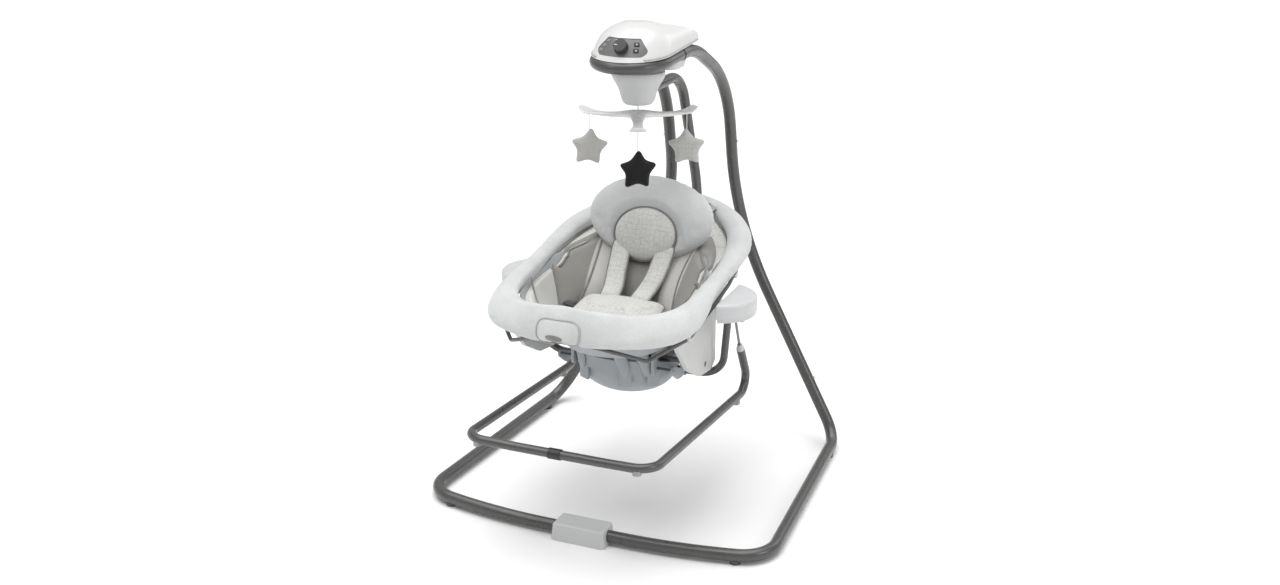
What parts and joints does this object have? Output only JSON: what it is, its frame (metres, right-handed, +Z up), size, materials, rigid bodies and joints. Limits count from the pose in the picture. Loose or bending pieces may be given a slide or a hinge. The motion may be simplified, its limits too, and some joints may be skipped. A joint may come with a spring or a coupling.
{
  "type": "baby_swing",
  "caption": "Baby swing: bent-tube floor stand with a battery drive head, an arm that sways a padded reclining bouncer seat, and a turning mobile of soft stars.",
  "frame": {"origin": "on the floor under the middle of the whole product", "axes": "+Z up, the seated child faces -Y, X across the product, x = 0 is the plane of symmetry"},
  "size_m": [0.8078, 0.8524, 1.036],
  "materials": {
    "stand_tube": "dark warm grey powder coat, satin gloss",
    "frame_wire": "dark grey painted wire",
    "bright_steel": "bare spring steel and pins",
    "white_plastic": "white gloss moulding",
    "pale_plastic": "pale grey satin moulding",
    "panel_plastic": "mid grey panel",
    "dark_plastic": "charcoal plastic",
    "band_plastic": "dark grey trim band",
    "blue_grey_plastic": "blue grey moulding",
    "warm_grey_plastic": "light warm grey moulding",
    "glide_rubber": "grip rubber",
    "velour": "pale grey velour over foam",
    "taupe_fabric": "woven taupe cover over foam",
    "print_fabric": "cream print over foam",
    "grey_plush": "light grey plush",
    "black_plush": "black plush",
    "cord": "thin white cord",
    "cell": "battery cells",
    "board": "circuit board"
  },
  "bodies": {
    "stand": {"base_tube_left": "stand_tube", "base_tube_right": "stand_tube", "foot_pad": "pale_plastic", "lower_upright_left": "stand_tube", "lower_upright_right": "stand_tube", "upper_tube_left": "stand_tube", "upper_tube_right": "stand_tube", "snap_buttons": "bright_steel", "floor_glides": "glide_rubber", "front_band": "band_plastic", "housing_base": "pale_plastic", "housing_cover": "white_plastic", "control_panel": "panel_plastic", "batteries": "cell", "drive_motor": "dark_plastic", "axle_bearings": "bright_steel", "circuit_board": "board"},
    "sway_hanger": {"swing_axle": "bright_steel", "hanger_cone": "pale_plastic", "swing_arm": "stand_tube", "dock": "blue_grey_plastic", "mobile_hook": "bright_steel"},
    "mobile": {"mobile_hub": "white_plastic"},
    "grey_star_on_cord": {"grey_star": "grey_plush", "grey_star_cord": "cord"},
    "print_star_on_cord": {"print_star": "print_fabric", "print_star_cord": "cord"},
    "black_star_on_cord": {"black_star": "black_plush", "black_star_cord": "cord"},
    "bouncer": {"carrier": "blue_grey_plastic", "hoop_tube": "stand_tube", "pod_left": "pale_plastic", "pod_right": "pale_plastic"},
    "latch": {"latch_rod": "frame_wire", "latch_plates": "blue_grey_plastic"},
    "seat": {"seat_shell": "blue_grey_plastic", "rim_frame": "frame_wire", "rim_pad": "velour", "side_bracket_left": "warm_grey_plastic", "side_bracket_right": "warm_grey_plastic", "recline_bar": "frame_wire", "pivot_pins": "bright_steel", "seat_liner": "taupe_fabric", "head_pillow": "velour", "head_cushion": "print_fabric", "strap_covers": "print_fabric", "waist_pad": "print_fabric", "waist_buckles": "dark_plastic"},
    "floor_loop": {"loop_tubes": "stand_tube", "loop_sleeve": "dark_plastic", "loop_feet": "glide_rubber", "spring_wires": "frame_wire", "ferrules": "warm_grey_plastic"},
    "knob": {"speed_knob": "dark_plastic"},
    "timer": {"timer_button": "pale_plastic"},
    "sound": {"sound_button": "pale_plastic"},
    "volume": {"volume_button": "pale_plastic"},
    "music": {"music_button": "dark_plastic"},
    "nature": {"nature_button": "dark_plastic"},
    "door": {"battery_door": "white_plastic"}
  },
  "joints": [
    {"name": "sway", "type": "hinge", "parent": "stand", "child": "sway_hanger", "pos_m": [0, 0.008, 0.985], "axis": [0, 1, 0], "range_deg": [-10, 10]},
    {"name": "bouncer_lift", "type": "slide", "parent": "sway_hanger", "child": "bouncer", "axis": [0, 0, 1], "range_m": [0, 0.025]},
    {"name": "recline", "type": "hinge", "parent": "bouncer", "child": "seat", "pos_m": [0, -0.06, 0.466], "axis": [-1, 0, 0], "range_deg": [0, 14]},
    {"name": "latch_release", "type": "hinge", "parent": "bouncer", "child": "latch", "pos_m": [0, -0.116, 0.333], "axis": [1, 0, 0], "range_deg": [0, 15], "stiffness_Nm_per_rad": 0.4, "springref_deg": -8.59},
    {"name": "bounce", "type": "hinge", "parent": "bouncer", "child": "floor_loop", "pos_m": [0, -0.06, 0.449], "axis": [1, 0, 0], "range_deg": [-3, 3], "stiffness_Nm_per_rad": 150, "springref_deg": -0.57},
    {"name": "mobile_spin", "type": "hinge", "parent": "sway_hanger", "child": "mobile", "pos_m": [0, 0.006, 0.843], "axis": [0, 0, 1], "continuous": true},
    {"name": "speed_turn", "type": "hinge", "parent": "stand", "child": "knob", "pos_m": [0.003, -0.08569, 0.996], "axis": [0.0296, -0.7452, 0.6662], "range_deg": [0, 270]},
    {"name": "door_hinge", "type": "hinge", "parent": "stand", "child": "door", "pos_m": [0, 0.1476, 1.00842], "axis": [-1, 0, 0], "range_deg": [0, 100]},
    {"name": "grey_star_swing", "type": "hinge", "parent": "mobile", "child": "grey_star_on_cord", "pos_m": [-0.11903, 0.02125, 0.832], "axis": [0.3859, -0.9225, 0], "range_deg": [-15, 15]},
    {"name": "print_star_swing", "type": "hinge", "parent": "mobile", "child": "print_star_on_cord", "pos_m": [0.07272, 0.10146, 0.832], "axis": [0.3859, -0.9225, 0], "range_deg": [-15, 15]},
    {"name": "black_star_swing", "type": "hinge", "parent": "mobile", "child": "black_star_on_cord", "pos_m": [0.04631, -0.10471, 0.832], "axis": [0.3859, -0.9225, 0], "range_deg": [-15, 15]},
    {"name": "timer_press", "type": "slide", "parent": "stand", "child": "timer", "axis": [0.3122, 0.6267, -0.714], "range_m": [0, 0.001], "stiffness_N_per_m": 300, "springref_m": -0.0002},
    {"name": "sound_press", "type": "slide", "parent": "stand", "child": "sound", "axis": [0.384, 0.6636, -0.642], "range_m": [0, 0.001], "stiffness_N_per_m": 300, "springref_m": -0.0002},
    {"name": "volume_press", "type": "slide", "parent": "stand", "child": "volume", "axis": [0.4483, 0.6644, -0.598], "range_m": [0, 0.001], "stiffness_N_per_m": 300, "springref_m": -0.0002},
    {"name": "music_press", "type": "slide", "parent": "stand", "child": "music", "axis": [-0.3073, 0.6613, -0.6843], "range_m": [0, 0.001], "stiffness_N_per_m": 300, "springref_m": -0.0002},
    {"name": "nature_press", "type": "slide", "parent": "stand", "child": "nature", "axis": [-0.3311, 0.7051, -0.6271], "range_m": [0, 0.001], "stiffness_N_per_m": 300, "springref_m": -0.0002}
  ]
}
